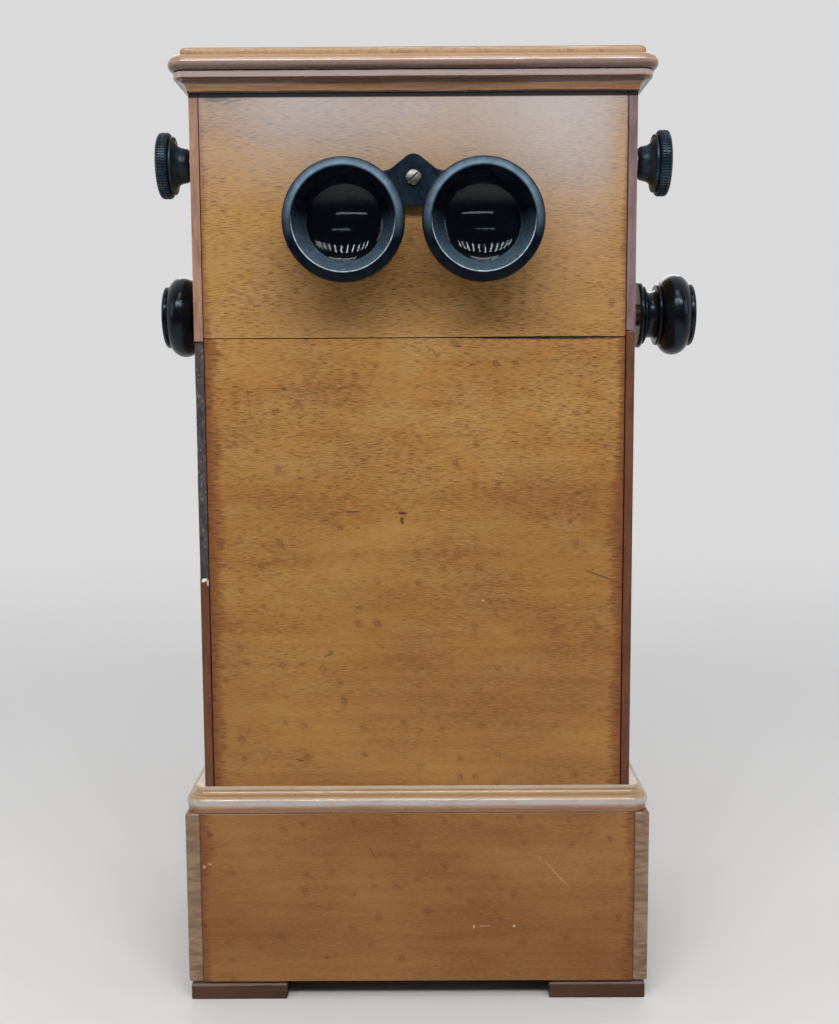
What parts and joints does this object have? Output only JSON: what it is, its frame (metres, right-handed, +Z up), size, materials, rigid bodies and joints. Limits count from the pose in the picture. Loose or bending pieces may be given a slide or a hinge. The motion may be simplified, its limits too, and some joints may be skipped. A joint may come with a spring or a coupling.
{
  "type": "table stereoscope",
  "caption": "Tall veneered table cabinet with two eyecups, side knobs that focus them and turn an endless chain of slide holders, hinged lid and ground-glass back door.",
  "frame": {"origin": "on the table, under the middle of the whole viewer's box; the middle of the cabinet body lies 8 mm to the left of it and 10 mm behind it", "axes": "+Z up; -Y is the side with the eyepieces; +X is the viewer's right"},
  "size_m": [0.3148, 0.246, 0.5063],
  "materials": {
    "maple_veneer": "satin",
    "side_veneer": "satin",
    "moulding_wood": "gloss",
    "dark_wood": "satin",
    "ebonite": "gloss",
    "black_metal": "satin",
    "brass": "satin",
    "nickel": "satin",
    "tin_plate": "matte",
    "lens_glass": "gloss",
    "ground_glass": "matte"
  },
  "bodies": {
    "cabinet": {"bottom_board": "dark_wood", "feet": "dark_wood", "plinth_front": "maple_veneer", "plinth_back": "maple_veneer", "plinth_left": "side_veneer", "plinth_right": "side_veneer", "plinth_moulding_front": "moulding_wood", "plinth_moulding_back": "moulding_wood", "plinth_moulding_left": "moulding_wood", "plinth_moulding_right": "moulding_wood", "side_left_lower": "side_veneer", "side_left_upper": "side_veneer", "side_right_lower": "side_veneer", "side_right_upper": "side_veneer", "front_lower_panel": "maple_veneer", "front_upper_panel": "maple_veneer", "back_lower_panel": "maple_veneer", "back_top_rail": "maple_veneer", "cornice_front": "moulding_wood", "cornice_left": "moulding_wood", "cornice_right": "moulding_wood", "fixed_hinge_leaves": "brass", "hinge_pins": "nickel", "fixed_hinge_screws": "nickel", "guide_bracket": "brass", "bracket_screws": "nickel", "focus_bushes": "nickel", "drum_bushes": "brass", "link_plates": "tin_plate", "link_pins": "tin_plate", "slide_holders": "tin_plate"},
    "lid": {"lid_board": "moulding_wood", "lid_panel": "maple_veneer", "lid_hinge_leaves": "brass", "lid_hinge_screws": "nickel"},
    "back_door": {"door_stiles": "maple_veneer", "door_rails": "maple_veneer", "ground_glass": "ground_glass", "glass_beads": "moulding_wood", "door_knob": "brass", "door_hinge_leaves": "brass", "door_hinge_screws": "nickel"},
    "eyepieces": {"bridge_plate": "black_metal", "bridge_screw": "nickel", "rack_bar": "brass", "eyepiece_tube_left": "black_metal", "eyepiece_tube_right": "black_metal", "eyecup_left": "ebonite", "eyecup_right": "ebonite", "lens_left": "lens_glass", "lens_right": "lens_glass", "lens_rings": "black_metal"},
    "focus_drive": {"focus_rod": "nickel", "pinion": "brass", "focus_knob_left": "black_metal", "focus_knob_right": "black_metal"},
    "chain_drive": {"drum_shaft": "nickel", "drum": "brass", "drum_knobs": "ebonite"}
  },
  "joints": [
    {"name": "lid_hinge", "type": "hinge", "parent": "cabinet", "child": "lid", "pos_m": [-0.008, 0.112, 0.4938], "axis": [-1, 0, 0], "range_deg": [0, 105]},
    {"name": "door_hinge", "type": "hinge", "parent": "cabinet", "child": "back_door", "pos_m": [-0.11475, 0.112, 0.418], "axis": [0, 0, 1], "range_deg": [0, 110]},
    {"name": "focus_slide", "type": "slide", "parent": "cabinet", "child": "eyepieces", "axis": [0, -1, 0], "range_m": [0, 0.012]},
    {"name": "focus_turn", "type": "hinge", "parent": "cabinet", "child": "focus_drive", "pos_m": [-0.008, -0.064, 0.4518], "axis": [-1, 0, 0], "range_deg": [0, 115]},
    {"name": "drum_turn", "type": "hinge", "parent": "cabinet", "child": "chain_drive", "pos_m": [-0.008, 0.01, 0.3749], "axis": [1, 0, 0], "continuous": true, "deforming": ["link_plates", "link_pins", "slide_holders"]}
  ],
  "couplings": [
    {"joint": "focus_turn", "follows": "focus_slide", "rad_per_m": 166.67}
  ]
}
